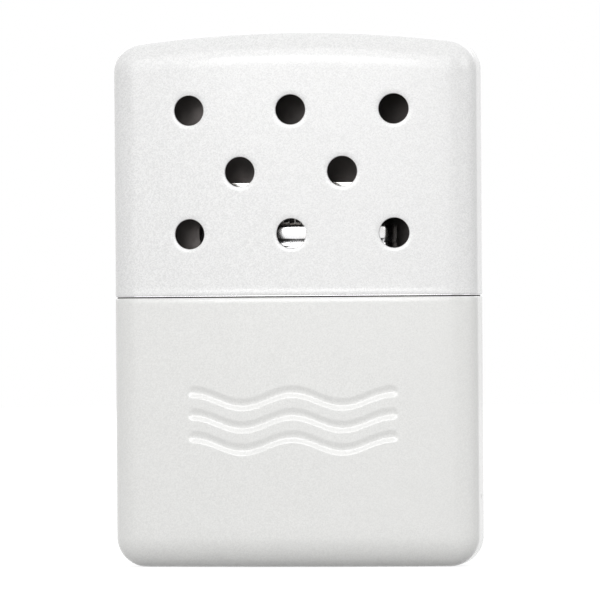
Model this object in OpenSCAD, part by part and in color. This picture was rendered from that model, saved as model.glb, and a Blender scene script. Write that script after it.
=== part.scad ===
// Catalytic pocket hand warmer, standing on its bottom edge with the front face to -Y.
// A lacquered drawn tank holds fuel-soaked cotton. A plated deck closes it, a burner plugs
// over the filler neck, and a vented cover slides down over the collar of the deck.
// Sizes are in millimetres. The origin is the middle of the bottom, +Z is up.

/* [Case] */
// Width of the closed case
case_w = 50.8; // [46:0.1:58]
// Thickness of the closed case at its middle
case_d = 13; // [12.4:0.1:16]
// Height of the closed case at the crown of its top
case_h = 74.1; // [70:0.1:84]
// Height of the joint between tank and cover
seam_z = 37.3; // [32:0.1:40]
// Thickness of the drawn sheet of tank and cover
wall = 0.5; // [0.35:0.05:0.6]
// Outer radius of the corners of the case, seen from the front
edge_r = 4.2; // [3.6:0.1:4.6]
// Depth to which the rounded edges reach into the thickness of the case
edge_depth = 3; // [2.6:0.1:4.6]
// Radius of the slight bow of the front and back faces
face_bow_r = 160; // [140:5:400]
// Radius of the slight crown of the top
crown_r = 175; // [140:5:400]

/* [Vents] */
// Diameter of a vent hole
vent_d = 4.2; // [3:0.1:5]
// Distance between two vents of one row
vent_pitch_x = 14.3; // [11:0.1:16]
// Distance between two rows of vents
vent_pitch_z = 8.55; // [6:0.05:9]
// Distance from the crown of the top down to the first row of vents
vent_drop = 10.9; // [9:0.1:14]

/* [Pressed wave lines] */
// Length of the pressed lines on the front of the tank
relief_w = 28; // [20:0.5:32]
// Width of one pressed line
relief_line = 1.3; // [0.8:0.1:1.8]
// Depth of the pressed lines
relief_depth = 0.2; // [0.1:0.05:0.25]
// Distance between two pressed lines
relief_pitch = 3.1; // [2.6:0.1:4]
// Height of the middle pressed line above the bottom
relief_z = 20.3; // [14:0.1:24]
// Height of one wave, from its middle to its crest
relief_wave = 0.9; // [0.4:0.1:1.4]

/* [Side marks] */
// Height of the small round mark pressed in each narrow side
mark_z = 9.6; // [7:0.1:20]
// Diameter of the tool that presses the side marks
mark_d = 0.8; // [0.6:0.1:2.4]
// Depth of the side marks
mark_depth = 0.12; // [0.1:0.01:0.3]

/* [Deck] */
// Thickness of the plated sheet of the deck
deck_t = 0.3; // [0.25:0.05:0.4]
// Height of the deck above its foot flange
collar_h = 6.4; // [5:0.1:8]
// Depth that the deck reaches down into the mouth of the tank
collar_plug = 3; // [2:0.1:4]
// Gap between the collar and the inside of the cover or the tank
collar_gap = 0.12; // [0.08:0.02:0.2]
// Distance of the edge of the foot flange from the outside of the case
flange_setback = 0.28; // [0.15:0.01:0.35]
// Radius of the shoulder of the deck
shoulder_r = 1.1; // [0.6:0.1:1.6]
// Distance of the flange tabs and grip nibs from the middle of the case
tab_x = 22.5; // [20:0.1:22.5]
// Width of a flange tab
tab_w = 0.7; // [0.4:0.1:1.2]
// Distance of the grip nibs from the middle of the case
nib_x = 14; // [10:0.5:18]
// Diameter of a grip nib
nib_d = 2.4; // [1.6:0.1:3]

/* [Filler neck] */
// Thickness of the sheet of the neck
neck_t = 0.4; // [0.3:0.05:0.5]
// Height of the neck above the deck
neck_h = 2.1; // [1.5:0.1:2.1]
// Depth of the neck below the deck
neck_below = 3; // [2.5:0.1:3.5]
// Clearance between the neck and the skirt of the burner
neck_fit = 0.08; // [0.02:0.01:0.1]
// Width of the neck's flange under the deck
neck_flange = 1.2; // [0.8:0.1:2]

/* [Burner] */
// Length of the burner's skirt
burner_w = 27.4; // [25:0.1:30]
// Thickness of the burner's skirt, front to back
burner_d = 7.6; // [7:0.1:8]
// Height of the burner's skirt
skirt_h = 3.4; // [2.6:0.1:4]
// Thickness of the sheet of the skirt
skirt_t = 0.4; // [0.3:0.05:0.5]
// Length of the cage on top of the skirt
cage_w = 24.4; // [22:0.1:24.4]
// Thickness of the cage, front to back
cage_d = 6.4; // [6:0.1:6.6]
// Height of the cage above the skirt
cage_h = 5.8; // [5:0.1:7]
// Thickness of the sheet of the cage
cage_t = 0.35; // [0.25:0.05:0.45]
// Overlap of the edge of a screen behind the edge of its window
window_lip = 0.3; // [0.2:0.05:0.8]
// Height of the bar over each window
window_bar = 0.7; // [0.5:0.1:1.2]
// Thickness of the catalyst mat
mat_t = 1.1; // [0.8:0.1:1.3]
// Distance between two wires of the screens
mesh_pitch = 0.85; // [0.8:0.05:1.2]
// Diameter of a wire of the screens
wire_d = 0.24; // [0.18:0.02:0.3]
// Thickness of the plates with vapour holes
plate_t = 0.2; // [0.15:0.05:0.3]
// Diameter of a vapour hole
vapour_d = 0.9; // [0.6:0.1:1.1]
// Distance between two vapour holes
vapour_pitch = 1.7; // [1.5:0.1:2.4]

/* [Cotton] */
// Gap between soft filling and the metal round it
soft_gap = 0.25; // [0.15:0.05:0.4]
// Thickness of the felt under the neck
felt_t = 2.4; // [1.5:0.1:3]

/* [Hidden] */

// Flat steps of a full turn on the rounded edges of the case
round_fn = 32;
// Flat steps of the bowed faces and the crown, from the middle to each side
stations = 4;
// Length by which a cut runs past what it cuts
over = 1;
// Clearance of pieces that are crimped or pinched together
seat_gap = 0.02;
// Number of whole waves along a pressed line
relief_waves = 2;

// Heights of the joints between the pieces
cover_z = seam_z + deck_t;
deck_z = cover_z + collar_h;
skirt_z = deck_z + skirt_h;
cage_z = skirt_z + cage_h;
neck_z = deck_z + neck_h;
neck_foot_z = deck_z - deck_t - neck_below;
felt_z = neck_foot_z + soft_gap;
// Size of the neck, which the skirt of the burner slides over
neck_w = burner_w - 2 * (skirt_t + neck_fit);
neck_d = burner_d - 2 * (skirt_t + neck_fit);
collar_inset = wall + collar_gap;
// Depth of the space for the mat, between the two screens
mat_d = cage_d - 2 * (cage_t + wire_d + seat_gap);
mat_w = cage_w - 2 * (cage_t + soft_gap);
mat_z = cage_z - cage_t - seat_gap;
// Half the width of a tab of the cage, which reaches through the floor of the skirt
tab_half = cage_d / 6;
// The screens stand behind the flat middle of the cage
screen_w = cage_w - cage_d;
window_w = screen_w - 2 * window_lip;
screen_h = cage_h - cage_t - seat_gap;

// Height of an arc of radius r over its chord, at distance x from its middle
function bow(x, r) = r - sqrt(r * r - x * x);
function face_y(x) = case_d / 2 - bow(x, face_bow_r);
function top_z(x) = case_h - bow(x, crown_r);
function station(i) = i / stations * (case_w / 2 - edge_r);
function ball_y(i) = face_y(station(i)) - edge_depth;
// One rounded corner of the plan of the case, from angle a on, and the bowed face after it
function corner(i, side, a, inset) = [for (k = [0 : round_fn / 4])
    [station(i) + (edge_r - inset) * cos(a + k * 360 / round_fn),
     side * ball_y(i) + (edge_depth - inset) * sin(a + k * 360 / round_fn)]];
function face(side, inset) = [for (i = [1 : 2 * stations - 1])
    [side * station(stations - i), side * (face_y(station(stations - i)) - inset)]];
function plan(inset) = concat(
    corner(stations, 1, 0, inset), face(1, inset), corner(-stations, 1, 90, inset),
    corner(-stations, -1, 180, inset), face(-1, inset), corner(stations, -1, 270, inset));
// One pressed line: a sine wave with a width, from its left end to its right and back
function wave_z(x) = relief_wave * cos(360 * relief_waves * x / relief_w);
function wave_edge(side) = [for (k = [-24 : 24])
    [side * k * relief_w / 48, wave_z(side * k * relief_w / 48) - side * relief_line / 2]];

// The rounding of the edges, taken in by inset: a ball that is flattened front to back. Its
// poles and equator lie exactly on its radius.
module edge_ball(inset) {
    r = edge_r - inset;
    scale([1, (edge_depth - inset) / r, 1])
        rotate_extrude($fn = round_fn)
            polygon([for (k = [-round_fn / 4 : round_fn / 4])
                [r * cos(k * 360 / round_fn), r * sin(k * 360 / round_fn)]]);
}

// The pillow shape of the closed case, taken in by inset all round
module case_form(inset) {
    hull()
        for (i = [-stations : stations], side = [-1, 1])
            translate([station(i), side * ball_y(i), 0]) {
                translate([0, 0, edge_r]) edge_ball(inset);
                translate([0, 0, top_z(station(i)) - edge_r]) edge_ball(inset);
            }
}

// A slab across the whole case, from height lo to height hi
module slab(lo, hi) {
    translate([-case_w, -case_d, lo]) cube([2 * case_w, 2 * case_d, hi - lo]);
}

// The plan of the case, taken in by inset, from height lo to height hi
module plan_prism(inset, lo, hi) {
    translate([0, 0, lo]) linear_extrude(hi - lo) polygon(plan(inset));
}

// The same with a rounded upper edge of radius r
module shouldered_prism(inset, lo, hi, r) {
    hull()
        for (a = [0 : 22.5 : 90])
            plan_prism(inset + r * (1 - cos(a)), lo, hi - r * (1 - sin(a)));
}

// A flat oval with round ends
module oval(w, d) {
    square([w - d, d], center = true);
    for (side = [-1, 1])
        translate([side * (w - d) / 2, 0]) circle(d = d, $fn = 64);
}

module oval_prism(w, d, lo, hi) {
    translate([0, 0, lo]) linear_extrude(hi - lo) oval(w, d);
}

module oval_tube(w, d, t, lo, hi) {
    difference() {
        oval_prism(w, d, lo, hi);
        oval_prism(w - 2 * t, d - 2 * t, lo - over, hi + over);
    }
}

// Places its children on the front and the back, left and right
module four_ways() {
    for (mx = [0, 1], my = [0, 1])
        mirror([mx, 0, 0]) mirror([0, my, 0]) children();
}

// The drawn upper half of the case, with its vents
module cover_shell() {
    color("gainsboro")
    difference() {
        intersection() {
            case_form(0);
            slab(cover_z, case_h + over);
        }
        case_form(wall);
        for (row = [0 : 2], col = [0 : 2 - row % 2])
            translate([(col - (2 - row % 2) / 2) * vent_pitch_x, 0,
                case_h - vent_drop - row * vent_pitch_z])
                rotate([90, 0, 0]) cylinder(d = vent_d, h = case_d, $fn = 64);
    }
}

// The drawn lower half of the case, with the pressed lines and the side marks
module tank_shell() {
    color("gainsboro")
    difference() {
        intersection() {
            case_form(0);
            slab(-over, seam_z);
        }
        case_form(wall);
        difference() {
            for (line = [-1 : 1])
                translate([0, 0, relief_z + line * relief_pitch])
                    rotate([90, 0, 0])
                        linear_extrude(case_d) polygon(concat(wave_edge(1), wave_edge(-1)));
            case_form(relief_depth);
        }
        for (side = [-1, 1])
            translate([side * (case_w / 2 + mark_d / 2 - mark_depth), 0, mark_z])
                sphere(d = mark_d, $fn = 48);
    }
}

// The plated top of the tank: plug, foot flange, collar, shoulder and hole for the neck
module tank_deck() {
    color("silver")
    difference() {
        union() {
            shouldered_prism(collar_inset, seam_z - collar_plug, deck_z, shoulder_r);
            plan_prism(flange_setback, seam_z, cover_z);
            four_ways() flange_tab();
            four_ways() grip_nib();
        }
        shouldered_prism(collar_inset + deck_t, seam_z - collar_plug - over, deck_z - deck_t,
            shoulder_r - deck_t);
        oval_prism(neck_w + 2 * seat_gap, neck_d + 2 * seat_gap, deck_z - deck_t - over,
            deck_z + over);
    }
}

// A tab that brings the foot flange out nearly flush with the case
module flange_tab() {
    intersection() {
        plan_prism(flange_setback / 4, seam_z, cover_z);
        translate([tab_x - tab_w / 2, 0, seam_z]) cube([tab_w, case_d, deck_t]);
    }
}

// A low pressed bump, square to the bowed wall of the collar, which the cover slides over
module grip_nib() {
    translate([nib_x, face_y(nib_x) - collar_inset, cover_z + collar_h / 2])
        rotate([90, 0, -asin(nib_x / face_bow_r)])
            translate([0, 0, -collar_gap / 2]) cylinder(d = nib_d, h = deck_t, $fn = 48);
}

// The oval filler neck, with the flange that holds it under the deck
module filler_neck() {
    color("silver")
    difference() {
        union() {
            oval_prism(neck_w, neck_d, neck_foot_z, neck_z);
            oval_prism(neck_w + 2 * neck_flange, neck_d + 2 * neck_flange,
                deck_z - deck_t - neck_t, deck_z - deck_t);
        }
        oval_prism(neck_w - 2 * neck_t, neck_d - 2 * neck_t, neck_foot_z - over, neck_z + over);
    }
}

// An oval plate with two rows of round holes
module holed_plate(w, d, lo) {
    cols = floor((w - d) / vapour_pitch);
    difference() {
        oval_prism(w, d, lo, lo + plate_t);
        for (i = [0 : cols], side = [-1, 1])
            translate([(i - cols / 2) * vapour_pitch, side * vapour_pitch / 2, lo - over])
                cylinder(d = vapour_d, h = plate_t + 2 * over, $fn = 24);
    }
}

// The plate that keeps the felt down in the neck
module neck_screen() {
    color("lightgray")
        holed_plate(neck_w - 2 * (neck_t + seat_gap), neck_d - 2 * (neck_t + seat_gap), felt_z);
}

// The felt under the neck, which draws fuel up from the cotton
module felt_pad() {
    color("ivory") {
        oval_prism(neck_w - 2 * (neck_t + soft_gap), neck_d - 2 * (neck_t + soft_gap),
            neck_foot_z - soft_gap, felt_z);
        oval_prism(neck_w + 2 * neck_t, neck_d + 2 * neck_t, neck_foot_z - felt_t,
            neck_foot_z - soft_gap);
    }
}

// The cotton in the upper part of the tank, with a pocket for the neck and its felt
module upper_cotton() {
    color("white")
    difference() {
        plan_prism(collar_inset + deck_t + soft_gap, seam_z - collar_plug - soft_gap,
            deck_z - shoulder_r - soft_gap);
        oval_prism(neck_w + 2 * (neck_t + soft_gap), neck_d + 2 * (neck_t + soft_gap),
            neck_foot_z - felt_t, deck_z);
        oval_prism(neck_w + 2 * (neck_flange + soft_gap), neck_d + 2 * (neck_flange + soft_gap),
            deck_z - deck_t - neck_t - soft_gap, deck_z);
    }
}

// The cotton in the lower part of the tank
module lower_cotton() {
    color("white")
    intersection() {
        case_form(wall + soft_gap);
        slab(-over, seam_z - collar_plug - soft_gap * 5 / 4);
    }
}

// The skirt of the burner: a sleeve over the neck, with a floor that is open in the middle
module burner_skirt() {
    color("silver")
    difference() {
        oval_prism(burner_w, burner_d, deck_z, skirt_z);
        oval_prism(burner_w - 2 * skirt_t, burner_d - 2 * skirt_t, deck_z - over,
            skirt_z - skirt_t);
        oval_prism(mat_w - 2 * mat_t, mat_d - 2 * mat_t, deck_z, skirt_z + over);
        for (side = [-1, 1])
            mirror([(side + 1) / 2, 0, 0]) tab_slot();
    }
}

// The slot in the floor of the skirt for a tab of the cage
module tab_slot() {
    intersection() {
        oval_tube(cage_w + 2 * seat_gap, cage_d + 2 * seat_gap, cage_t + 2 * seat_gap,
            skirt_z - skirt_t - over, skirt_z + over);
        translate([0, -tab_half - seat_gap, skirt_z - 2 * skirt_t])
            cube([cage_w, 2 * (tab_half + seat_gap), 3 * skirt_t]);
    }
}

// The plate with vapour holes on the floor of the burner
module vapour_plate() {
    color("darkgray") holed_plate(mat_w, mat_d, skirt_z);
}

// The cage over the catalyst: two ends and a top, open at front and back. Its foot is cut
// away at front and back, so that only the two tabs reach through the floor of the skirt.
module burner_cage() {
    color("silver")
    difference() {
        oval_prism(cage_w, cage_d, skirt_z - skirt_t, cage_z);
        oval_prism(cage_w - 2 * cage_t, cage_d - 2 * cage_t, skirt_z - skirt_t - over,
            cage_z - cage_t);
        translate([-window_w / 2, -cage_d, skirt_z - skirt_t - over])
            cube([window_w, 2 * cage_d, cage_h + skirt_t - window_bar + over]);
        for (side = [0, 1])
            mirror([0, side, 0])
                translate([-cage_w, tab_half, skirt_z - skirt_t - over])
                    cube([2 * cage_w, cage_d, skirt_t + over]);
        for (i = [-1 : 1])
            oval_slot(i * window_w / 3, window_w / 4, cage_d / 4, cage_z);
    }
}

// A slot through the top of the cage, with round ends
module oval_slot(x, w, d, z) {
    translate([x, 0, 0]) oval_prism(w, d, z - cage_t - over / 2, z + over);
}

// A wire screen that stands just inside a window of the cage
module screen() {
    cols = floor((screen_w - wire_d) / mesh_pitch);
    rows = floor((screen_h - wire_d) / mesh_pitch);
    gap = mesh_pitch - wire_d;
    translate([0, cage_d / 2 - cage_t, skirt_z])
        rotate([90, 0, 0])
            linear_extrude(wire_d)
                difference() {
                    translate([-screen_w / 2, 0]) square([screen_w, screen_h]);
                    for (i = [1 : cols], k = [1 : rows])
                        translate([(i - (cols + 1) / 2) * mesh_pitch - gap / 2,
                            (k - (rows + 1) / 2) * mesh_pitch - gap / 2 + screen_h / 2])
                            square(gap);
                }
}

module rear_screen() {
    color("gray") screen();
}

module front_screen() {
    color("gray") mirror([0, 1, 0]) screen();
}

// The folded mat of platinum-coated glass fibre: a front, a back and a fold over the top
module catalyst_mat() {
    color("dimgray")
    difference() {
        oval_prism(mat_w, mat_d, skirt_z + plate_t, mat_z);
        oval_prism(mat_w - 2 * mat_t, mat_d - 2 * mat_t, skirt_z, mat_z - mat_t);
    }
}

// The holed strip inside the fold, which keeps the mat open over the vapour holes
module mat_former() {
    former_w = mat_w - 2 * (mat_t + seat_gap);
    former_d = mat_d - 2 * (mat_t + seat_gap);
    former_z = mat_z - mat_t - seat_gap;
    cols = floor((former_w - former_d) / vapour_pitch);
    color("darkgray")
    difference() {
        oval_prism(former_w, former_d, skirt_z + plate_t, former_z);
        oval_prism(former_w - 2 * plate_t, former_d - 2 * plate_t, skirt_z, former_z - plate_t);
        for (i = [0 : cols])
            translate([(i - cols / 2) * vapour_pitch, former_d,
                (skirt_z + plate_t + former_z) / 2])
                rotate([90, 0, 0]) cylinder(d = vapour_d, h = 2 * former_d, $fn = 24);
    }
}

cover_shell();
tank_shell();
tank_deck();
filler_neck();
neck_screen();
felt_pad();
upper_cotton();
lower_cotton();
burner_skirt();
vapour_plate();
burner_cage();
front_screen();
rear_screen();
catalyst_mat();
mat_former();
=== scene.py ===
import math

import bmesh
import bpy
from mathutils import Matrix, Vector, noise


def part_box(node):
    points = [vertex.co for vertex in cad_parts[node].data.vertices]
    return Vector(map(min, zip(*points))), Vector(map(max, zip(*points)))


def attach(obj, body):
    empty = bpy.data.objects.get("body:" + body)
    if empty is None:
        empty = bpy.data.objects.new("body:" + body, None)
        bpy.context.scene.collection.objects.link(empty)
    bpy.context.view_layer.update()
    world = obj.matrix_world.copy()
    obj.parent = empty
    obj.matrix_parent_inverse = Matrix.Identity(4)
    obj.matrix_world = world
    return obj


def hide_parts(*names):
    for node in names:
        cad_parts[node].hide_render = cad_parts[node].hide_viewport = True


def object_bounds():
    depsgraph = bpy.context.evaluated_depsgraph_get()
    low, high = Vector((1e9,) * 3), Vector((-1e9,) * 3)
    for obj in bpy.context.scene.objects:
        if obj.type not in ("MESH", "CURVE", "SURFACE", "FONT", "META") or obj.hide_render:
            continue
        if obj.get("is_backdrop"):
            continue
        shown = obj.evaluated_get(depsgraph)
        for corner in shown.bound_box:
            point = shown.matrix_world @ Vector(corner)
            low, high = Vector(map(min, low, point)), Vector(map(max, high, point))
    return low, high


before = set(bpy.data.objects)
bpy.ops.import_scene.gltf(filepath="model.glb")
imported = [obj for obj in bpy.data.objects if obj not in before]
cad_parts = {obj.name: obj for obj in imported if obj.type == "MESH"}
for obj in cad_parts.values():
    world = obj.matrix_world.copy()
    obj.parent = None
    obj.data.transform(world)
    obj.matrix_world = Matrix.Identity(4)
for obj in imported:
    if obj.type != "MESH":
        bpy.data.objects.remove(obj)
cad_low, cad_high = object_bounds()
scene = bpy.context.scene
scene.view_settings.view_transform = "Standard"


# ---------------------------------------------------------------- tank
# The lower half of the case: a cup drawn from 0.5 mm steel sheet, rounded at every edge, with
# three wave lines pressed into its front and a punch mark in each narrow side. It is sprayed
# pearl white outside, left bare inside, and its mouth is trimmed and the edge broken round.
tank_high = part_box("tank_shell")[1]
case_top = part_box("cover_shell")[1].z
SHEET = 0.0005
EDGE_R = 0.0042
EDGE_DEPTH = 0.003
FACE_BOW_R = 0.160
CROWN_R = 0.175
core_x = tank_high.x - EDGE_R
WELD = 0.000001


def bow(x, radius):
    """How far an arc of this radius falls off at distance x from its middle."""
    return radius - math.sqrt(radius * radius - x * x)


def core_y(x):
    return tank_high.y - EDGE_DEPTH - bow(x, FACE_BOW_R)


def core_top(x):
    return case_top - EDGE_R - bow(x, CROWN_R)


def case_point(across, through, up, inset):
    """A point of the pillow-shaped case: a thin core with a flattened ball rolled all over it.
    Each of the three is a place on the core and how far the surface leans that way."""
    x, lean_x = across
    share, lean_y = through
    z, lean_z = up
    turn = math.atan(math.tan(math.asin(x / FACE_BOW_R)) * EDGE_R / EDGE_DEPTH)
    tip = math.asin(x / CROWN_R) if lean_z > 0 else 0
    lean = Vector((
        lean_x + abs(lean_y) * math.sin(turn) + lean_z * math.sin(tip),
        lean_y * math.cos(turn),
        lean_z * math.cos(tip),
    )).normalized()
    out = Vector((lean.x * EDGE_R, lean.y * EDGE_DEPTH, lean.z * EDGE_R))
    normal = Vector((lean.x / EDGE_R, lean.y / EDGE_DEPTH, lean.z / EDGE_R)).normalized()
    return Vector((x, share * core_y(x), z)) + out - inset * normal


def leans(steps):
    """Half of a rounded edge, from just past the flat to its middle line."""
    return [math.tan(math.pi / 4 * k / steps) for k in range(1, steps + 1)]


def edged(lines, steps):
    """Lines over a flat stretch, with half of a rounded edge before and after them."""
    low = [(lines[0], -lean) for lean in reversed(leans(steps))]
    high = [(lines[-1], lean) for lean in leans(steps)]
    return low + [(line, 0) for line in lines] + high


def spaced(low, high, count):
    return [low + (high - low) * k / count for k in range(count + 1)]


def patch(bm, columns, rows, place, skip=None, bare=None):
    """One patch of a drawn shell. bare(row) is true where the sheet isn't lacquered."""
    points = [[bm.verts.new(place(column, row)) for column in columns] for row in rows]
    for j in range(len(rows) - 1):
        for i in range(len(columns) - 1):
            if skip and skip(i, j):
                continue
            corners = (points[j][i], points[j][i + 1], points[j + 1][i + 1], points[j + 1][i])
            face = bm.faces.new(corners)
            face.material_index = 1 if bare and bare(rows[j]) and bare(rows[j + 1]) else 0


def place_mesh(bm, name, materials, body, replaced):
    """Welds a mesh, names it, and lets it ride on a body in place of its CAD nodes."""
    bmesh.ops.remove_doubles(bm, verts=bm.verts, dist=WELD)
    bmesh.ops.recalc_face_normals(bm, faces=bm.faces)
    mesh = bpy.data.meshes.new(name)
    bm.to_mesh(mesh)
    bm.free()
    mesh.shade_smooth()
    piece = bpy.data.objects.new(name, mesh)
    scene.collection.objects.link(piece)
    for material in materials:
        mesh.materials.append(material)
    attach(piece, body)
    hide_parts(replaced)
    return piece


def add_node(tree, kind, inputs=None, **settings):
    """A shader node. inputs gives each socket a value, or another node's output."""
    made = tree.nodes.new("ShaderNode" + kind)
    for key, value in settings.items():
        setattr(made, key, value)
    for key, value in (inputs or {}).items():
        if isinstance(value, bpy.types.NodeSocket):
            tree.links.new(value, made.inputs[key])
        else:
            made.inputs[key].default_value = value
    return made


def new_group(name, inputs, outputs):
    """A shader node group, its input node, and a function that wires its outputs."""
    group = bpy.data.node_groups.new(name, "ShaderNodeTree")
    for title, value in inputs.items():
        kind = "NodeSocketColor" if isinstance(value, tuple) else "NodeSocketFloat"
        socket = group.interface.new_socket(title, in_out="INPUT", socket_type=kind)
        socket.default_value = value
    for title, kind in outputs.items():
        group.interface.new_socket(title, in_out="OUTPUT", socket_type="NodeSocket" + kind)
    start = group.nodes.new("NodeGroupInput")
    end = group.nodes.new("NodeGroupOutput")

    def wire(title, socket):
        group.links.new(socket, end.inputs[title])

    return group, start, wire


def math_node(tree, operation, *values):
    return add_node(tree, "Math", dict(enumerate(values)), operation=operation).outputs[0]


def vector_node(tree, operation, *values):
    """The vector that the operation gives; a third value is the factor of SCALE."""
    made = add_node(tree, "VectorMath", operation=operation)
    for socket, value in zip((0, 1) if operation != "SCALE" else (0, "Scale"), values):
        if isinstance(value, bpy.types.NodeSocket):
            tree.links.new(value, made.inputs[socket])
        else:
            made.inputs[socket].default_value = value
    return made.outputs[0]


FLAKE_TILT = 0.10
CLOUD_DRIFT = 0.03
LACQUER_ROUGHNESS = 0.34
LACQUER_SPREAD = 0.2
COAT_ROUGHNESS = 0.16


def pearl_flakes():
    """Mica flakes in a white lacquer: each is a little lighter or darker, and lies askew."""
    group, start, wire = new_group(
        "pearl_flakes",
        {"Color": (1, 1, 1, 1), "Flakes per Metre": 7000.0, "Sparkle": 0.1, "Tilt": 0.1,
         "Roughness": 0.4},
        {"Color": "Color", "Roughness": "Float", "Normal": "Vector"},
    )
    where = add_node(group, "TexCoord").outputs["Object"]
    flake = add_node(group, "TexVoronoi",
                     {"Vector": where, "Scale": start.outputs["Flakes per Metre"]})
    cloud = add_node(group, "TexNoise", {"Vector": where, "Scale": 260.0, "Detail": 2.0})
    shade = add_node(group, "SeparateColor", {"Color": flake.outputs["Color"]})
    offset = math_node(group, "SUBTRACT", shade.outputs[0], 0.5)
    offset = math_node(group, "MULTIPLY", offset, start.outputs["Sparkle"])
    drift = math_node(group, "MULTIPLY_ADD", cloud.outputs[0], CLOUD_DRIFT,
                      1 - CLOUD_DRIFT / 2)
    level = math_node(group, "ADD", offset, drift)
    wire("Color", vector_node(group, "SCALE", start.outputs["Color"], level))
    lean = vector_node(group, "SUBTRACT", flake.outputs["Color"], (0.5, 0.5, 0.5))
    lean = vector_node(group, "SCALE", lean, start.outputs["Tilt"])
    upright = add_node(group, "NewGeometry").outputs["Normal"]
    wire("Normal", vector_node(group, "NORMALIZE", vector_node(group, "ADD", upright, lean)))
    wire("Roughness", math_node(group, "MULTIPLY_ADD", shade.outputs[1], LACQUER_SPREAD,
                                start.outputs["Roughness"]))
    return group


def finish(name, group, values, relief=0):
    """A material and its shader's sockets, fed by a node group. relief is how deep it bumps."""
    material = bpy.data.materials.new(name)
    material.use_nodes = True
    tree = material.node_tree
    sockets = tree.nodes["Principled BSDF"].inputs
    for output in add_node(tree, "Group", values, node_tree=group).outputs:
        if output.name == "Color":
            tree.links.new(output, sockets["Base Color"])
        elif output.name == "Height":
            bump = add_node(tree, "Bump", {"Height": output, "Distance": relief})
            tree.links.new(bump.outputs[0], sockets["Normal"])
        else:
            tree.links.new(output, sockets[output.name])
    return material, sockets


def lacquer(name, color, sparkle):
    """A clear-coated pearl lacquer in one colour."""
    material, sockets = finish(name, flake_group, {
        "Color": (*color, 1), "Sparkle": sparkle, "Tilt": FLAKE_TILT,
        "Roughness": LACQUER_ROUGHNESS})
    sockets["Coat Weight"].default_value = 1.0
    sockets["Coat Roughness"].default_value = COAT_ROUGHNESS
    return material


TOOL_STRETCH = (1.0, 1.0, 0.08)
TOOL_RELIEF = 0.000002
STAIN_DULLS = 0.15


def worn_steel():
    """Drawn sheet steel: cloudy colour, and fine marks of the tools along its length."""
    group, start, wire = new_group(
        "worn_steel",
        {"Color": (0.5, 0.5, 0.5, 1), "Stain": (0.4, 0.35, 0.3, 1), "Stained": 0.3,
         "Roughness": 0.2, "Marks": 0.1},
        {"Color": "Color", "Roughness": "Float", "Height": "Float"},
    )
    where = add_node(group, "TexCoord").outputs["Object"]
    stretch = vector_node(group, "MULTIPLY", where, TOOL_STRETCH)
    cloud = add_node(group, "TexNoise", {"Vector": where, "Scale": 330.0, "Detail": 4.0})
    marks = add_node(group, "TexNoise", {"Vector": stretch, "Scale": 9000.0, "Detail": 3.0})
    patchy = add_node(group, "MapRange",
                      {"Value": cloud.outputs[0], "From Min": 0.42, "From Max": 0.68})
    amount = math_node(group, "MULTIPLY", patchy.outputs[0], start.outputs["Stained"])
    tint = add_node(group, "Mix", {"Factor": amount, "A": start.outputs["Color"],
                                   "B": start.outputs["Stain"]}, data_type="RGBA")
    wire("Color", tint.outputs["Result"])
    rough = math_node(group, "MULTIPLY", marks.outputs[0], start.outputs["Marks"])
    rough = math_node(group, "ADD", rough, start.outputs["Roughness"])
    wire("Roughness", math_node(group, "MULTIPLY_ADD", amount, STAIN_DULLS, rough))
    wire("Height", marks.outputs[0])
    return group


def metal(name, color, stain, stained, roughness, marks, metallic=1.0):
    """A plated or bare metal with its own cloudiness and tool marks."""
    material, sockets = finish(name, steel_group, {
        "Color": (*color, 1), "Stain": (*stain, 1), "Stained": stained,
        "Roughness": roughness, "Marks": marks}, TOOL_RELIEF)
    sockets["Metallic"].default_value = metallic
    return material


flake_group = pearl_flakes()
steel_group = worn_steel()
tank_lacquer = lacquer("pearl_lacquer_tank", (0.80, 0.80, 0.785), 0.08)
bare_sheet = metal("bare_sheet_inside", (0.09, 0.085, 0.08), (0.05, 0.04, 0.035), 0.6, 0.42, 0.1)

RELIEF_W = 0.028
RELIEF_Z = 0.0203
RELIEF_PITCH = 0.0031
RELIEF_WAVE = 0.0009
RELIEF_WAVES = 2
RELIEF_DEPTH = 0.00014
RELIEF_FADE_X = 0.004
RELIEF_FADE_Z = 0.005
GROOVE_HALF = 0.00015
SHOULDER_HALF = 0.00092
SHOULDER_EASE = 0.2
MARK_Z = 0.0096
MARK_R = 0.0004
MARK_DEPTH = 0.00012
EDGE_STEPS = 6
LIP_STEPS = 4
TANK_LIP = 0.00025


def smooth(value, low, high):
    """0 at low, 1 at high, and a smooth step between."""
    share = min(1, max(0, (value - low) / (high - low)))
    return share * share * (3 - 2 * share)


def ramp(value, low, high):
    """0 at low, 1 at high, and a straight slope between that is eased in and out."""
    share = min(1, max(0, (value - low) / (high - low)))
    near_end = min(share, 1 - share)
    if near_end < SHOULDER_EASE:
        rise = near_end ** 2 / (2 * SHOULDER_EASE)
    else:
        rise = near_end - SHOULDER_EASE / 2
    rise /= 1 - SHOULDER_EASE
    return rise if share < 0.5 else 1 - rise


def relief_lift(x, z):
    """How far the mesh lines near the relief follow its waves up or down."""
    wave = RELIEF_WAVE * math.cos(2 * math.pi * RELIEF_WAVES * x / RELIEF_W)
    beside = 1 - smooth(abs(x), RELIEF_W / 2, RELIEF_W / 2 + RELIEF_FADE_X)
    above = 1 - smooth(abs(z - RELIEF_Z), RELIEF_PITCH + SHOULDER_HALF,
                       RELIEF_PITCH + RELIEF_FADE_Z)
    return wave * beside * above


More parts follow.
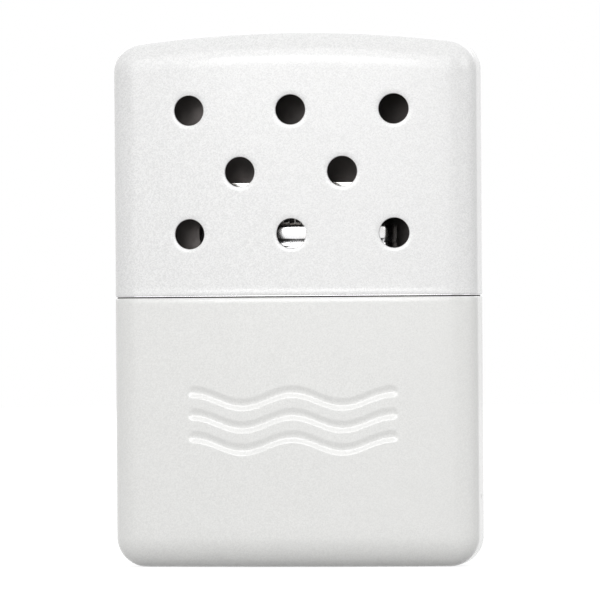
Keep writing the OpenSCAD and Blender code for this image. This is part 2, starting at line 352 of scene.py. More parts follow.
def relief_depth(x, z):
    """Depth of the pressed lines, which end round, at a point before it follows the waves."""
    line = max(-1, min(1, round((z - RELIEF_Z) / RELIEF_PITCH)))
    past_end = max(0, abs(x) - (RELIEF_W / 2 - GROOVE_HALF))
    away = math.hypot(past_end, z - RELIEF_Z - line * RELIEF_PITCH)
    return RELIEF_DEPTH * (1 - ramp(away, GROOVE_HALF, SHOULDER_HALF))


def mark_depth(y, z):
    """Depth of the round punch mark in a narrow side."""
    away = math.hypot(y, z - MARK_Z)
    if away >= MARK_R:
        return 0
    return max(0, math.sqrt(MARK_R ** 2 - away ** 2) - (MARK_R - MARK_DEPTH))


SPREAD = 1 + EDGE_R ** 2 / EDGE_DEPTH / FACE_BOW_R


def front_x(x):
    """Where a line of the core comes out on the front face."""
    return x * SPREAD


def lip(z, direction, radius):
    """The edge of the sheet, with its crest at height z: rounded by radius on the outside,
    and by the rest of the sheet on the inside."""
    made = []
    for k in range(2 * LIP_STEPS + 1):
        turn = math.pi * k / (2 * LIP_STEPS)
        bend = radius if k < LIP_STEPS else SHEET - radius
        made.append((z - direction * bend * (1 - math.sin(turn)), 0,
                     radius - bend * math.cos(turn)))
    return made


BELOW_MARK = (0.0058, 0.0075, 0.0087)
MARK_ZONE = 0.00045
ABOVE_MARK = (0.0106, 0.0122, 0.0138, 0.0152)
GROOVE_LINES = (0.00098, 0.0009, 0.0008, 0.00066, 0.0005, 0.00034, 0.00024, 0.0001)
ABOVE_RELIEF = 0.0265
BELOW_MOUTH = 0.0008


def tank_heights():
    """Heights of the mesh lines on the tank's wall, close together at relief and marks."""
    lines = [EDGE_R, *BELOW_MARK, *spaced(MARK_Z - MARK_ZONE, MARK_Z + MARK_ZONE, 9), *ABOVE_MARK]
    for line in (-1, 0, 1):
        middle = RELIEF_Z + line * RELIEF_PITCH
        lines += [middle - away for away in GROOVE_LINES]
        lines += [middle + away for away in reversed(GROOVE_LINES)]
        lines += [middle + RELIEF_PITCH / 2]
    return lines + spaced(ABOVE_RELIEF, tank_high.z - BELOW_MOUTH, 6)


def is_inside(row):
    """True on the bare inside of the tank, which begins past the edge of its mouth."""
    return row[2] > SHEET - WELD


outer = [(z, 0, 0) for z in tank_heights()]
inner = [(z, 0, SHEET) for z in reversed(tank_heights())]
round_in = [(EDGE_R, -lean, 0) for lean in reversed(leans(EDGE_STEPS))]
round_out = [(EDGE_R, -lean, SHEET) for lean in leans(EDGE_STEPS)]
tank_rows = round_in + outer + lip(tank_high.z, 1, TANK_LIP) + inner + round_out
LINE_END = 0.0006
PAST_END = 0.0009
BESIDE_RELIEF = (0.0167, 0.0189)
half_lines = spaced(0, RELIEF_W / 2 - PAST_END, 34)[1:]
half_lines += spaced(RELIEF_W / 2 - LINE_END, RELIEF_W / 2 + PAST_END, 10)
half_lines += [*BESIDE_RELIEF, core_x]
tank_lines = [-x for x in reversed(half_lines)] + [0] + half_lines
side_shares = spaced(-1, 1, 16)


def tank_front(column, row):
    """The front of the tank, with the pressed lines."""
    x, z = front_x(column[0]), row[0]
    flat = column[1] == 0 and row[1] == 0
    depth = relief_depth(x, z) if flat else 0
    lift = relief_lift(x, z) if flat else 0
    return case_point(column, (-1, -1), (z + lift, row[1]), row[2] + depth)


def tank_side(side, column, row):
    """A narrow side of the tank, with its punch mark."""
    share, lean = column
    flat = lean == 0 and row[1] == 0
    depth = mark_depth(share * core_y(core_x), row[0]) if flat else 0
    return case_point((side * core_x, side), column, row[:2], row[2] + depth)


tank_columns = edged(tank_lines, EDGE_STEPS)
side_columns = edged(side_shares, EDGE_STEPS)
bm = bmesh.new()
patch(bm, tank_columns, tank_rows, tank_front, bare=is_inside)
patch(bm, tank_columns, tank_rows,
      lambda column, row: case_point(column, (1, 1), row[:2], row[2]), bare=is_inside)
for side in (-1, 1):
    patch(bm, side_columns, tank_rows, lambda column, row: tank_side(side, column, row),
          bare=is_inside)
for depth in (0, SHEET):
    patch(bm, tank_columns, side_columns,
          lambda column, row: case_point(column, row, (EDGE_R, -1), depth),
          bare=lambda row: depth > 0)
place_mesh(bm, "tank_drawn_cup", [tank_lacquer, bare_sheet], "tank", "tank_shell")


# ---------------------------------------------------------------- cotton and felt
# Two wads of cotton hold the fuel: one fills the drawn cup, one sits round the neck under the
# deck. A block of pressed wool felt under the neck draws the fuel up. All are pushed in dry.
STRAND_BEND = 0.0006
STRAND_SHARE = 0.6
FIBRE_RELIEF = 0.0001


def fibres():
    """Matted fibre: clouds of thin and thick places, and fine strands across them."""
    group, start, wire = new_group(
        "matted_fibre",
        {"Color": (1, 1, 1, 1), "Shade": (0.5, 0.5, 0.5, 1), "Strands per Metre": 6000.0},
        {"Color": "Color", "Height": "Float"},
    )
    where = add_node(group, "TexCoord").outputs["Object"]
    cloud = add_node(group, "TexNoise", {"Vector": where, "Scale": 700.0, "Detail": 5.0})
    bent = vector_node(group, "SCALE", cloud.outputs["Color"], STRAND_BEND)
    strand = add_node(group, "TexNoise", {
        "Vector": vector_node(group, "ADD", where, bent),
        "Scale": start.outputs["Strands per Metre"], "Detail": 3.0, "Distortion": 2.0})
    both = math_node(group, "MULTIPLY_ADD", strand.outputs[0], STRAND_SHARE, cloud.outputs[0])
    thin = add_node(group, "MapRange", {"Value": both, "From Min": 0.6, "From Max": 1.0})
    tint = add_node(group, "Mix", {"Factor": thin.outputs[0], "A": start.outputs["Shade"],
                                   "B": start.outputs["Color"]}, data_type="RGBA")
    wire("Color", tint.outputs["Result"])
    wire("Height", both)
    return group


def fibre(name, color, shade, strands):
    """A matt fibrous material."""
    material, sockets = finish(name, fibre_group, {
        "Color": (*color, 1), "Shade": (*shade, 1), "Strands per Metre": strands}, FIBRE_RELIEF)
    sockets["Roughness"].default_value = 0.92
    sockets["Sheen Weight"].default_value = 0.3
    return material


def end_leans(steps, shares):
    """The round end of an outline: how it leans across and through, and its place."""
    near = leans(steps)
    front = [(t, -1, -1) for t in near] + [(1, -1, -t) for t in reversed(near[:-1])]
    middle = [(1, share, 0) for share in shares]
    back = [(1, 1, t) for t in near] + [(t, 1, 1) for t in reversed(near[:-1])]
    return front + middle + back


LOOP_STEPS = 36
LOOP_END_STEPS = 11
LOOP_LINES = [core_x * k / LOOP_STEPS for k in range(-LOOP_STEPS, LOOP_STEPS + 1)]
LOOP_END = end_leans(LOOP_END_STEPS, [-1, -0.5, 0, 0.5, 1])


def case_loop(inset, z):
    """The outline of the case at one height, taken in by inset."""
    made = []
    for side in (1, -1):
        made += [case_point((side * x, 0), (-side, -side), (z, 0), inset) for x in LOOP_LINES]
        made += [case_point((side * core_x, side * lean_x), (side * share, side * lean_y),
                            (z, 0), inset) for lean_x, share, lean_y in LOOP_END]
    return made


def oval_loop(width, depth, z, square=1):
    """A flat oval with round ends, with as many points as case_loop has. The ends are squarer
    if square is below 1."""
    straight, radius, count = (width - depth) / 2, depth / 2, len(LOOP_END) + 1
    made = []
    for side in (1, -1):
        made += [Vector((side * x / core_x * straight, -side * radius, z)) for x in LOOP_LINES]
        for k in range(1, count):
            angle = math.pi * (k / count - 0.5)
            out = math.cos(angle) ** square
            along = math.copysign(abs(math.sin(angle)) ** square, angle)
            made.append(Vector((side * (straight + radius * out), side * radius * along, z)))
    return made


def between(low, high, count):
    """Loops that lead from one loop to another, without the two."""
    return [[a.lerp(b, k / count) for a, b in zip(low, high)] for k in range(1, count)]


def skin(bm, loops, closed=False):
    """Joins loops of points one after the other; closed joins the last to the first."""
    rings = [[bm.verts.new(point) for point in loop] for loop in loops]
    if closed:
        rings.append(rings[0])
    for low, high in zip(rings, rings[1:]):
        for i, point in enumerate(low):
            j = (i + 1) % len(low)
            bm.faces.new((point, low[j], high[j], high[i]))


def roughen(bm, amount, scale):
    """Presses the surface in here and there, as fibre lies unevenly. It never stands out."""
    bmesh.ops.remove_doubles(bm, verts=bm.verts, dist=WELD)
    bmesh.ops.recalc_face_normals(bm, faces=bm.faces)
    bm.normal_update()
    for vertex in bm.verts:
        push = 0.5 + 0.5 * noise.fractal(vertex.co * scale, 1.0, 2.0, 3)
        vertex.co -= vertex.normal * amount * min(1, max(0, push))


RIDGE_SHARE = 0.9


def flat_case(inset, z, rings):
    """Closes an outline of the case towards its middle line."""
    edge = case_loop(inset, z)
    middle = [Vector((p.x * RIDGE_SHARE, 0, z)) for p in edge]
    return between(edge, middle, rings) + [middle]


SOFT_GAP = 0.00025
COTTON_STEP = 0.0011
WAD_EDGE_STEPS = 4
fibre_group = fibres()
cotton = fibre("cotton_wadding", (0.86, 0.85, 0.80), (0.62, 0.60, 0.54), 5000.0)
felt = fibre("wool_felt", (0.78, 0.75, 0.66), (0.52, 0.49, 0.42), 8000.0)

cotton_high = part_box("lower_cotton")[1]
wad_lines = spaced(-core_x, core_x, round(2 * core_x / COTTON_STEP))
wad_columns = edged(wad_lines, WAD_EDGE_STEPS)
wad_sides = edged([-1, 0, 1], WAD_EDGE_STEPS)
wad_rows = [(EDGE_R, -lean) for lean in reversed(leans(WAD_EDGE_STEPS))]
wad_rows += [(z, 0) for z in spaced(EDGE_R, cotton_high.z, 26)]
wad_inset = SHEET + SOFT_GAP
bm = bmesh.new()
for side in (-1, 1):
    patch(bm, wad_columns, wad_rows,
          lambda column, row: case_point(column, (side, side), row, wad_inset))
    patch(bm, wad_sides, wad_rows,
          lambda column, row: case_point((side * core_x, side), column, row, wad_inset))
for height in ((EDGE_R, -1), (cotton_high.z, 0)):
    patch(bm, wad_columns, wad_sides,
          lambda column, row: case_point(column, row, height, wad_inset))
roughen(bm, amount=0.0005, scale=900)
place_mesh(bm, "cotton_wad_in_cup", [cotton], "tank", "lower_cotton")

deck_low, deck_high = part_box("tank_deck")
neck_low, neck_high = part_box("filler_neck")
felt_low, felt_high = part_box("felt_pad")
wad_low, wad_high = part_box("upper_cotton")
DECK_T = 0.0003
NECK_T = 0.0004
NECK_FLANGE = 0.0012
neck_w = (neck_high.x - NECK_FLANGE) * 2
neck_d = (neck_high.y - NECK_FLANGE) * 2
pocket_w, pocket_d = neck_w + 2 * (NECK_T + SOFT_GAP), neck_d + 2 * (NECK_T + SOFT_GAP)
ledge_w, ledge_d = neck_w + 2 * (NECK_FLANGE + SOFT_GAP), neck_d + 2 * (NECK_FLANGE + SOFT_GAP)
ledge_z = deck_high.z - DECK_T - NECK_T - SOFT_GAP
COLLAR_INSET = 0.00062
wad_in = COLLAR_INSET + DECK_T + SOFT_GAP
loops = list(reversed(flat_case(wad_in, wad_low.z, 3)))
loops += [case_loop(wad_in, z) for z in spaced(wad_low.z, wad_high.z, 9)]
loops += between(loops[-1], oval_loop(ledge_w, ledge_d, wad_high.z), 3)
loops += [oval_loop(ledge_w, ledge_d, wad_high.z), oval_loop(ledge_w, ledge_d, ledge_z)]
loops += [oval_loop(pocket_w, pocket_d, z) for z in spaced(ledge_z, felt_low.z, 5)]
loops += [oval_loop(pocket_w - pocket_d, 0, felt_low.z)]
bm = bmesh.new()
skin(bm, loops)
roughen(bm, amount=0.0003, scale=900)
place_mesh(bm, "cotton_wad_round_neck", [cotton], "tank", "upper_cotton")

stem_w, stem_d = neck_w - 2 * (NECK_T + SOFT_GAP), neck_d - 2 * (NECK_T + SOFT_GAP)
foot_z = neck_low.z - SOFT_GAP
loops = [oval_loop(felt_high.x * 2 - felt_high.y * 2, 0, felt_low.z)]
loops += [oval_loop(felt_high.x * 2, felt_high.y * 2, z) for z in spaced(felt_low.z, foot_z, 5)]
loops += [oval_loop(stem_w, stem_d, z) for z in spaced(foot_z, felt_high.z, 2)]
loops += [oval_loop(stem_w - stem_d, 0, felt_high.z)]
bm = bmesh.new()
skin(bm, loops)
roughen(bm, amount=0.00012, scale=2400)
place_mesh(bm, "felt_block", [felt], "tank", "felt_pad")


# ---------------------------------------------------------------- deck
# The bright-plated top of the tank, drawn from 0.3 mm steel: a plug pressed into the cup, a
# foot flange with a bright bead that shows in the joint, a collar with four low bumps that
# grip the cover, and a shouldered top with an oval hole for the neck.
SHOULDER_R = 0.0011
BEAD_SETBACK = 0.00005
BEAD_SHARE = 0.5
FLANGE_SETBACK = 0.00028
FLANGE_ROUND = 0.00004
TAB_X = 0.0225
TAB_HALF = 0.0003
TAB_SETBACK = 0.00012
NIB_X = 0.014
NIB_R = 0.0012
NIB_H = 0.00006
HOLE_PLAY = 0.00006
HOLE_EDGE_W = 0.0001
HOLE_EDGE_H = 0.00003
COLLAR_TOP = 0.0003
PLUG_LINE = 0.0015
cover_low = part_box("cover_shell")[0]
nib_z = (cover_low.z + deck_high.z) / 2

plating = metal("bright_plating", (0.80, 0.80, 0.81), (0.62, 0.60, 0.57), 0.12, 0.07, 0.05)
# Painted shade: the plated flange's edge below the bead gets a near-black colour for the shadow in
# the joint between cover and tank.
seam_painted_shade = metal("flange_edge_painted_shade", (0.07, 0.065, 0.06), (0.04, 0.036, 0.033), 0.5, 0.5,
                  0.1)


def flange_loop(setback, z):
    """The edge of the foot flange, with a tab near each corner."""
    plain, tabbed = case_loop(setback, z), case_loop(setback - FLANGE_SETBACK + TAB_SETBACK, z)
    return [b if abs(abs(b.x) - TAB_X) < TAB_HALF else a for a, b in zip(plain, tabbed)]


def collar_loop(z):
    """The collar at one height, with the grip bumps."""
    made = []
    for point in case_loop(COLLAR_INSET, z):
        away = math.hypot(abs(point.x) - NIB_X, point.z - nib_z)
        point.y += math.copysign(NIB_H * (1 - smooth(away, 0, NIB_R)), point.y)
        made.append(point)
    return made


def quarter(inset, z, radius, steps, start, turn):
    """Insets and heights along a quarter round, from an angle in degrees."""
    angles = [math.radians(start + turn * k / steps) for k in range(steps + 1)]
    return [(inset + radius * math.cos(a), z + radius * math.sin(a)) for a in angles]


hole_w, hole_d = neck_w + HOLE_PLAY, neck_d + HOLE_PLAY
top_edge = case_loop(COLLAR_INSET + SHOULDER_R, deck_high.z)
hole_top = oval_loop(hole_w + DECK_T, hole_d + DECK_T, deck_high.z)
hole_mid = oval_loop(hole_w, hole_d, deck_high.z - DECK_T / 2)
hole_low = oval_loop(hole_w, hole_d, deck_high.z - DECK_T)
hole_edge = oval_loop(hole_w + HOLE_EDGE_W, hole_d + HOLE_EDGE_W, deck_high.z - HOLE_EDGE_H)
loops = [hole_low, hole_mid, hole_edge, hole_top]
loops += between(hole_top, top_edge, 6) + [top_edge]
loops += [case_loop(i, z) for i, z in quarter(COLLAR_INSET + SHOULDER_R,
          deck_high.z - SHOULDER_R, SHOULDER_R, 8, 90, 90)][1:]
collar_top = deck_high.z - SHOULDER_R - COLLAR_TOP
loops += [collar_loop(z) for z in spaced(collar_top, cover_low.z, 20)]
bead_z = cover_low.z + (tank_high.z - cover_low.z) * BEAD_SHARE
loops += [case_loop(BEAD_SETBACK + FLANGE_ROUND, cover_low.z),
          case_loop(BEAD_SETBACK, cover_low.z - FLANGE_ROUND),
          case_loop(BEAD_SETBACK, bead_z + FLANGE_ROUND),
          case_loop(BEAD_SETBACK + FLANGE_ROUND, bead_z),
          flange_loop(FLANGE_SETBACK, bead_z),
          flange_loop(FLANGE_SETBACK, tank_high.z)]
plug_heights = (tank_high.z, tank_high.z - PLUG_LINE, deck_low.z)
loops += [case_loop(COLLAR_INSET, z) for z in plug_heights]
inside = COLLAR_INSET + DECK_T
loops += [case_loop(inside, z) for z in (deck_low.z, tank_high.z, deck_high.z - SHOULDER_R)]
loops += [case_loop(i, z) for i, z in quarter(COLLAR_INSET + SHOULDER_R,
          deck_high.z - SHOULDER_R, SHOULDER_R - DECK_T, 4, 180, -90)][1:]
bm = bmesh.new()
skin(bm, loops, closed=True)
# The flange faces below the bead take the painted seam shade.
for face in bm.faces:
    middle = face.calc_center_median()
    if tank_high.z < middle.z < bead_z:
        face.material_index = 1
place_mesh(bm, "deck_drawn_top", [plating, seam_painted_shade], "tank", "tank_deck")


# ---------------------------------------------------------------- filler neck
# An oval tube of plated steel, flanged and clinched under the deck, with its mouth rolled
# round. A punched plate is crimped across it and holds the felt down.
def oval_shell(bm, stages):
    """A closed shell through ovals, each given as oval_loop takes it."""
    skin(bm, [oval_loop(*stage) for stage in stages], closed=True)


def oval_stages(width, depth, section):
    """Stages from a section of (distance outside the oval, height)."""
    return [(width + 2 * out, depth + 2 * out, z) for out, z in section]


def round_end(out, z, radius, start, steps=6):
    """Half a turn round the edge of a sheet, from an angle in degrees, for a section."""
    angles = [math.radians(start + 180 * k / steps) for k in range(steps + 1)]
    return [(out + radius * math.cos(a), z + radius * math.sin(a)) for a in angles]


BEND_R = 0.0003
BEND_OUT = 0.0001
BEND_DROP = 0.00005
FLANGE_EDGE = 0.0001
half_t = NECK_T / 2
flange_top = deck_high.z - DECK_T
flange_foot = flange_top - NECK_T
section = round_end(-half_t, neck_high.z - half_t, half_t, 0)
section += round_end(-half_t, neck_low.z + half_t, half_t, 180)
section += [(0, flange_foot - BEND_R), (BEND_OUT, flange_foot - BEND_DROP),
            (BEND_R, flange_foot), (NECK_FLANGE - FLANGE_EDGE, flange_foot),
            (NECK_FLANGE, flange_foot + FLANGE_EDGE), (NECK_FLANGE, flange_top - FLANGE_EDGE),
            (NECK_FLANGE - FLANGE_EDGE, flange_top), (0, flange_top)]
bm = bmesh.new()
oval_shell(bm, oval_stages(neck_w, neck_d, section))
place_mesh(bm, "neck_oval_tube", [plating], "tank", "filler_neck")

punched = metal("punched_steel", (0.56, 0.55, 0.53), (0.36, 0.32, 0.27), 0.5, 0.26, 0.12)


def dress(node, material):
    """Gives a CAD node its finish."""
    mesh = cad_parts[node].data
    mesh.materials.clear()
    mesh.materials.append(material)


dress("neck_screen", punched)


# ---------------------------------------------------------------- burner skirt and plate
# The skirt is a plated oval sleeve with slightly squared ends that plugs over the neck. A
# groove is rolled over its foot, its shoulder is drawn round and its floor is open in the
# middle. A steel plate with vapour holes lies on that floor.
SKIRT_T = 0.0004
SKIRT_R = 0.0005
skirt_low, skirt_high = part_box("burner_skirt")
mat_low, mat_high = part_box("catalyst_mat")
MAT_T = 0.0011
burner_w, burner_d = skirt_high.x * 2, skirt_high.y * 2
open_w, open_d = (mat_high.x - MAT_T) * 2, (mat_high.y - MAT_T) * 2
FOOT_TOP = 0.00085
FOOT_SLOPE_TOP = 0.00145
FOOT_STEP = 0.0002
FOOT_EDGE = 0.00004
FOOT_EASE = 0.00008
SLOPE_FOOT = 0.0001
SLOPE_EASE = 0.1
FLOOR_EDGE = 0.0001
SQUARE = 0.6
step_z, slope_z = skirt_low.z + FOOT_TOP, skirt_low.z + FOOT_SLOPE_TOP
section = round_end(-SKIRT_T / 2, skirt_low.z + SKIRT_T / 2, SKIRT_T / 2, 180)
section += [(0, step_z - FOOT_EASE), (-FOOT_EDGE, step_z), (-FOOT_STEP, step_z),
            (-FOOT_STEP * (1 - SLOPE_EASE), step_z + SLOPE_FOOT),
            (-FOOT_STEP * SLOPE_EASE, slope_z - FOOT_EASE), (0, slope_z)]
section += quarter(-SKIRT_R, skirt_high.z - SKIRT_R, SKIRT_R, 6, 0, 90)
stages = [(*stage, SQUARE) for stage in oval_stages(burner_w, burner_d, section)]
stages += [(open_w + 2 * FLOOR_EDGE, open_d + 2 * FLOOR_EDGE, skirt_high.z),
           (open_w, open_d, skirt_high.z - FLOOR_EDGE), (open_w, open_d, skirt_high.z - SKIRT_T)]
inner = [(-SKIRT_R, skirt_high.z - SKIRT_T), (-SKIRT_T, skirt_high.z - SKIRT_R)]
stages += [(*stage, SQUARE) for stage in oval_stages(burner_w, burner_d, inner)]
skirt_plating = metal("skirt_plating", (0.82, 0.82, 0.83), (0.66, 0.60, 0.50), 0.2, 0.16, 0.08)
bm = bmesh.new()
oval_shell(bm, stages)
place_mesh(bm, "skirt_drawn_sleeve", [skirt_plating], "burner", "burner_skirt")

tinted = metal("heat_tinted_steel", (0.50, 0.47, 0.43), (0.30, 0.20, 0.16), 0.7, 0.3, 0.15)
dress("vapour_plate", tinted)


# ---------------------------------------------------------------- burner cage
# A plated strip, drawn to an oval with a flat top, that holds the mat down on the floor of
# the skirt. A window is cut in its front and its back, three slots in its top, and a tab at
# each end goes through the floor.
CAGE_T = 0.00035
WINDOW_LIP = 0.0003
WINDOW_BAR = 0.0007
SLOT_SIDES = 20
CAGE_EDGE = 0.0001
CAGE_SHARP = 50
cage_low, cage_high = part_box("burner_cage")
screen_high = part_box("front_screen")[1]
cage_w, cage_d = cage_high.x * 2, cage_high.y * 2
window_x = screen_high.x - WINDOW_LIP
window_z = cage_high.z - WINDOW_BAR
tab_y = cage_d / 6
slot_w, slot_d, slot_pitch = window_x / 2, cage_d / 4, window_x * 2 / 3


def cage_loop(z):
    """The oval of the cage at one height, with a line at each edge of the windows."""
    straight, radius = (cage_w - cage_d) / 2, cage_d / 2
    lines = [-straight] + spaced(-window_x, window_x, 24) + [straight]
    tab = math.asin(tab_y / (cage_d / 2))
    turns = spaced(-math.pi / 2, -tab, 10)[1:] + spaced(-tab, tab, 8)[1:]
    turns += spaced(tab, math.pi / 2, 10)[1:-1]
    made = []
    for side in (1, -1):
        made += [Vector((side * x, -side * radius, z)) for x in lines]
        made += [Vector((side * (straight + radius * math.cos(a)), side * radius * math.sin(a), z))
                 for a in turns]
    return made


def slot_points(x, z):
    """The outline of one slot with round ends."""
    made = []
    for k in range(SLOT_SIDES):
        angle = 2 * math.pi * (k + 0.5) / SLOT_SIDES
        end = math.copysign((slot_w - slot_d) / 2, math.cos(angle))
        made.append(Vector((x + end + slot_d / 2 * math.cos(angle),
                            slot_d / 2 * math.sin(angle), z)))
    return made


cage_plating = metal("cage_plating", (0.76, 0.75, 0.73), (0.55, 0.46, 0.34), 0.45, 0.10, 0.08)
cage_heights = [cage_low.z, skirt_high.z] + spaced(skirt_high.z, window_z, 6)[1:]
cage_heights += [cage_high.z]
bm = bmesh.new()
skin(bm, [cage_loop(z) for z in cage_heights])
bmesh.ops.remove_doubles(bm, verts=bm.verts, dist=WELD)
cut = []
for face in bm.faces:
    middle = face.calc_center_median()
    in_window = abs(middle.x) < window_x and middle.z < window_z
    at_foot = middle.z < skirt_high.z and (abs(middle.y) > tab_y or in_window)
    if in_window and abs(middle.y) > tab_y or at_foot:
        cut.append(face)
bmesh.ops.delete(bm, geom=cut, context="FACES")
rim = [e for e in bm.edges if e.is_boundary
       and min(v.co.z for v in e.verts) > cage_high.z - WELD]
for x in (-slot_pitch, 0, slot_pitch):
    ring = [bm.verts.new(p) for p in slot_points(x, cage_high.z)]
    rim += [bm.edges.new((ring[k - 1], ring[k])) for k in range(SLOT_SIDES)]
bmesh.ops.triangle_fill(bm, use_beauty=True, use_dissolve=False, edges=rim)
cage = place_mesh(bm, "cage_folded_strip", [cage_plating], "burner", "burner_cage")
thick = cage.modifiers.new("sheet", "SOLIDIFY")
thick.thickness = CAGE_T
thick.offset = -1
thick.use_even_offset = True
broken = cage.modifiers.new("broken_edges", "BEVEL")
broken.width = CAGE_EDGE
broken.segments = 2
broken.limit_method = "ANGLE"
broken.angle_limit = math.radians(CAGE_SHARP)
broken.harden_normals = True


# ---------------------------------------------------------------- wire screens
# Two rectangles of plain-woven steel wire, which stand behind the windows of the cage and
# keep the mat in. Each wire goes over one and under the next.
WIRE_R = 0.0001
CRIMP = 0.00006
MESH_PITCH = 0.00085
WIRE_SIDES = 6
STEPS_PER_PITCH = 4


def draw_wire(bm, start, along, length, phase):
    """One crimped wire of a screen, from start on, in the plane of X and Z."""
    steps = round(length / MESH_PITCH * STEPS_PER_PITCH)
    across = Vector((along.z, 0, along.x))
    rings = []
    for k in range(steps + 1):
        reach = length * k / steps
        swing = CRIMP * math.cos(math.pi * reach / MESH_PITCH + phase)
        middle = start + along * reach + Vector((0, swing, 0))
        ring = []
        for side in range(WIRE_SIDES):
            angle = 2 * math.pi * side / WIRE_SIDES
            out = across * math.cos(angle) + Vector((0, math.sin(angle), 0))
            ring.append(bm.verts.new(middle + out * WIRE_R))
        rings.append(ring)
    for low, high in zip(rings, rings[1:]):
        for i in range(WIRE_SIDES):
            bm.faces.new((low[i - 1], low[i], high[i], high[i - 1]))
    bm.faces.new(rings[0])
    bm.faces.new(rings[-1])


wire_steel = metal("screen_wire", (0.74, 0.73, 0.71), (0.42, 0.36, 0.31), 0.4, 0.2, 0.1)
for node, label in (("front_screen", "front"), ("rear_screen", "rear")):
    low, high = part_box(node)
    middle_y = (low.y + high.y) / 2
    uprights = int((high.x - low.x - 2 * WIRE_R) / MESH_PITCH)
    levels = int((high.z - low.z - 2 * WIRE_R) / MESH_PITCH)
    first_x, first_z = -uprights * MESH_PITCH / 2, (low.z + high.z - levels * MESH_PITCH) / 2
    bm = bmesh.new()
    for k in range(uprights + 1):
        start = Vector((first_x + k * MESH_PITCH, middle_y, low.z))
        phase = math.pi * (k + (low.z - first_z) / MESH_PITCH)
        draw_wire(bm, start, Vector((0, 0, 1)), high.z - low.z, phase)
    for k in range(levels + 1):
        start = Vector((low.x, middle_y, first_z + k * MESH_PITCH))
        phase = math.pi * (k + 1 + (low.x - first_x) / MESH_PITCH)
        draw_wire(bm, start, Vector((1, 0, 0)), high.x - low.x, phase)
    place_mesh(bm, "wire_screen_" + label, [wire_steel], "burner", node)


# ---------------------------------------------------------------- catalyst
# A mat of glass fibre with platinum on it, folded over a punched steel strip that keeps the
# fold open over the vapour holes. It is soft, and the screens press it flat.
platinum = fibre("platinum_glass_fibre", (0.16, 0.15, 0.145), (0.05, 0.045, 0.045), 7000.0)
FOLD_R = 0.0007
FOLD_RINGS = (0.0024, 0.0012, 0)
mat_w, mat_d = mat_high.x * 2, mat_high.y * 2
cavity_z = mat_high.z - MAT_T
loops = [oval_loop(open_w - open_d, 0, cavity_z), oval_loop(open_w, open_d, cavity_z),
         oval_loop(open_w, open_d, mat_low.z)]
loops += [oval_loop(mat_w, mat_d, z) for z in spaced(mat_low.z, mat_high.z - FOLD_R, 12)]
fold = [(FOLD_R * (1 - math.cos(a)), mat_high.z - FOLD_R * (1 - math.sin(a)))
        for a in spaced(0, math.pi / 2, 4)][1:]
loops += [oval_loop(mat_w - 2 * i, mat_d - 2 * i, z) for i, z in fold]
loops += [oval_loop(mat_w - mat_d + d, d, mat_high.z) for d in FOLD_RINGS]
bm = bmesh.new()
skin(bm, loops)
roughen(bm, amount=0.00016, scale=2600)
place_mesh(bm, "catalyst_folded_mat", [platinum], "burner", "catalyst_mat")
dress("mat_former", tinted)


# ---------------------------------------------------------------- cover
# The upper half of the case: a cap drawn like the tank, slightly crowned, with eight round
# vents punched in its front and their rims rounded over. It is lacquered outside and left bare
# inside, where the bare steel is painted near-black as shade, and slides down over the collar
# until its edge stands on the flange.
VENT_ROWS = 3
VENT_R = 0.00208
VENT_RIM = 0.00014
VENT_INNER_RIM = 0.0001
DISH = 0.00003
DISH_W = 0.00035
VENT_PITCH_X = 0.0143
VENT_PITCH_Z = 0.00855
VENT_DROP = 0.0109
CELL_STEPS = 16
CROWN_LEVELS = 4
OUTER_SHARES = (0.25, 0.5, 0.7, 0.85, 0.95)
INNER_SHARES = (0.15, 0.45, 0.75)
DISH_RINGS = 3
RIM_STEPS = 5
INNER_RIM_STEPS = 3
COVER_LIP = 0.00006
LACQUERED_SHARE = 0.6
EDGE_LINES = (0.00015, 0.0003, 0.0005, 0.0008, 0.0013, 0.0022)
WAIST = 0.00002
WAIST_EDGE = 0.0004
WAIST_FOOT = 0.0009
WAIST_TOP = 0.0025
WAIST_END = 0.03

# Painted light: the cover's lacquer is a lighter copy of the tank's, for the stronger light that
# falls on the cover's face.
cover_lacquer_painted_light = lacquer("pearl_lacquer_cover_painted_light", (0.82, 0.82, 0.817), 0.17)
# Bare steel inside the cover, set far darker than bare steel is: painted shade for the dark inside
# seen through the vents.
cover_inside_painted_shade = metal("bare_cover_inside_painted_shade", (0.13, 0.117, 0.112), (0.072, 0.065, 0.063), 0.6, 0.34,
                   0.1, 0.6)


def waist(z):
    """The wall stands in by a hair over its edge, where the sheet was trimmed and broken."""
    above = z - cover_low.z
    stands_in = WAIST * smooth(above, WAIST_EDGE, WAIST_FOOT)
    return stands_in * (1 - smooth(above, WAIST_TOP, WAIST_END))


first_row = case_top - VENT_DROP
vents_top = first_row + VENT_PITCH_Z / 2
vents_foot = vents_top - VENT_PITCH_Z * VENT_ROWS
half_cell = VENT_PITCH_X / 2 / SPREAD
half_lines = spaced(0, half_cell, CELL_STEPS // 2)[1:]
half_lines += spaced(half_cell, 2 * half_cell, CELL_STEPS // 2)[1:]
half_lines += spaced(2 * half_cell, core_x, CELL_STEPS // 2)[1:]
cover_lines = [-x for x in reversed(half_lines)] + [0] + half_lines
columns = edged(cover_lines, EDGE_STEPS)
low_lines = [cover_low.z + SHEET / 2 + d for d in EDGE_LINES]
cover_levels = low_lines + spaced(vents_foot, vents_top, VENT_ROWS * CELL_STEPS)


def cover_row(level, share, inset):
    """A line on the wall: at a set height, or a share of the way on up to the crown."""
    return (level, share, 0, inset)


def outer_rows(inset):
    """The lines of one face of the wall, from over its edge up into the rounding of the top."""
    rows = [cover_row(z, 0, inset) for z in cover_levels]
    rows += [cover_row(vents_top, k / CROWN_LEVELS, inset) for k in range(1, CROWN_LEVELS + 1)]
    return rows + [(vents_top, 1, lean, inset) for lean in leans(EDGE_STEPS)]


def cover_point(across, through, row):
    """A point of the cover's wall, which runs up to the crowned top."""
    level, share, lean, inset = row
    z = level + (core_top(across[0]) - level) * share
    pull = waist(z) if lean == 0 else 0
    return case_point(across, through, (z, lean), inset + pull)


